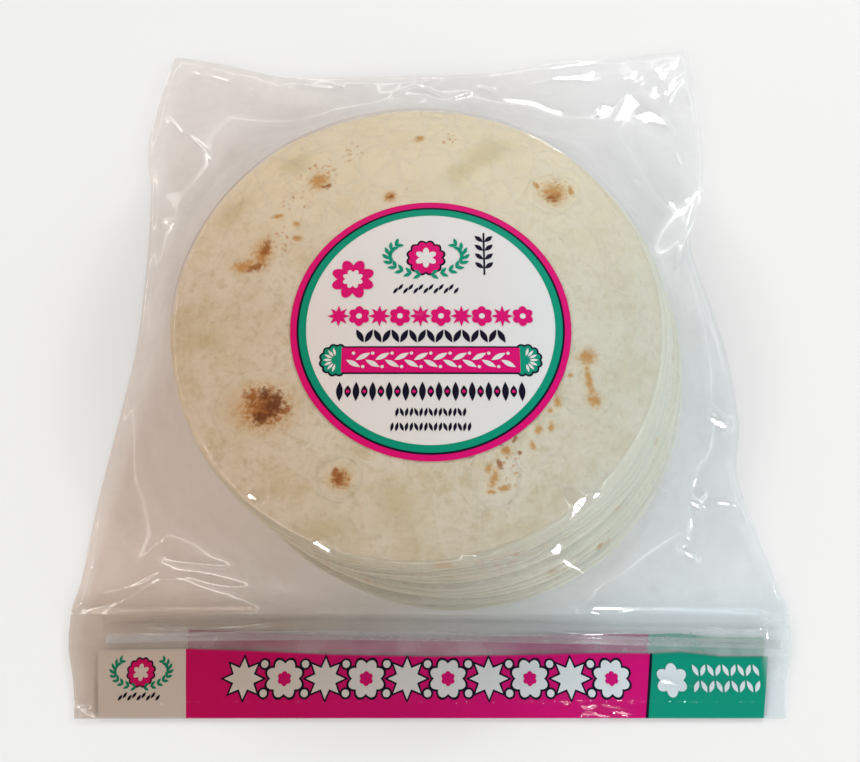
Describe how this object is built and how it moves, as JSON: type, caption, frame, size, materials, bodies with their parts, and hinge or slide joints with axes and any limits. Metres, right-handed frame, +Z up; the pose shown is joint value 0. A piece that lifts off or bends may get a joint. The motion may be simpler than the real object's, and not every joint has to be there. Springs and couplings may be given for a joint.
{
  "type": "bag of flour tortillas",
  "caption": "Clear zip-top bag lying flat round a stack of flour tortillas, with a round printed field over the stack and a printed band at its open end.",
  "frame": {"origin": "on the ground under the middle of the bag's box", "axes": "+Z up out of the printed side, +Y from the open end past the zip to the sealed far end, +X along the zip to the right as seen from the open end"},
  "size_m": [0.299, 0.329, 0.05],
  "materials": {
    "film": "thin clear glossy film",
    "zip": "clear ribbed plastic",
    "tortilla": "floury cooked dough with toasted spots",
    "print": "opaque ink on glossy film"
  },
  "bodies": {
    "root": {"bag": "film", "zip_track": "zip"}
  },
  "joints": []
}
